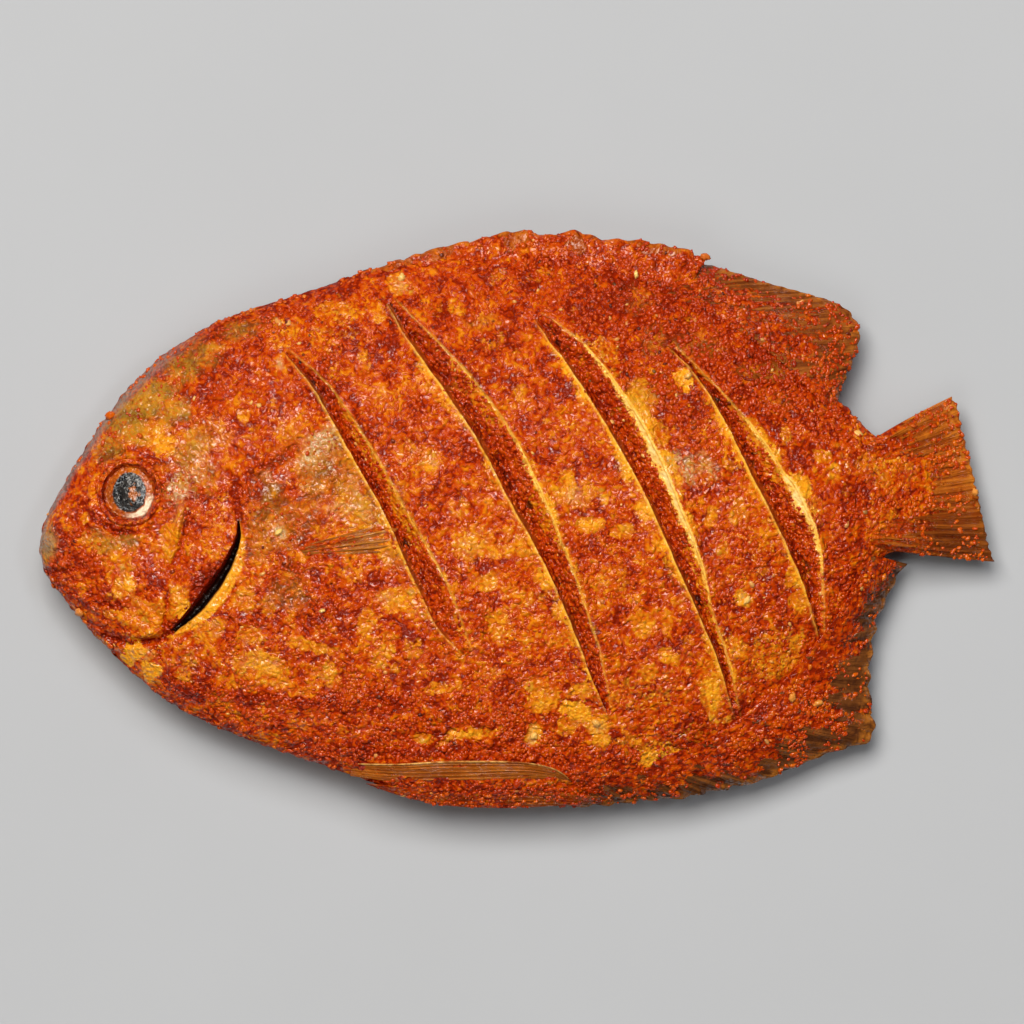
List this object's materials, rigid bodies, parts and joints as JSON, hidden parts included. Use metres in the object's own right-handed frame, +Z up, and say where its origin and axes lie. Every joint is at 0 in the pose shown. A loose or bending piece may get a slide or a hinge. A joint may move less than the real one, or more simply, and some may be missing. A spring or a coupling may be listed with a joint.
{
  "type": "whole spiced pearl spot fish",
  "caption": "Whole deep-bodied fish in a coarse spice coat, lying flat, with slanting cuts across the flank, folded fins, open gill slit and a fan-shaped tail.",
  "frame": {"origin": "middle of the fish's outline, on the surface it rests on", "axes": "-X towards the snout, +Y towards the back and dorsal fin, +Z up through the flank that shows"},
  "size_m": [0.1912, 0.1164, 0.0247],
  "materials": {
    "spice_coat": "wet coarse spice paste, brick red to deep orange with ochre patches",
    "flesh": "moist stained flesh at the lips of the cuts",
    "fin": "translucent rayed fin under a thin oily coat",
    "eye": "glossy wet eye with an orange ring",
    "grain": "wet spice grains and seeds"
  },
  "bodies": {
    "root": {"fish": "spice_coat"}
  },
  "joints": []
}
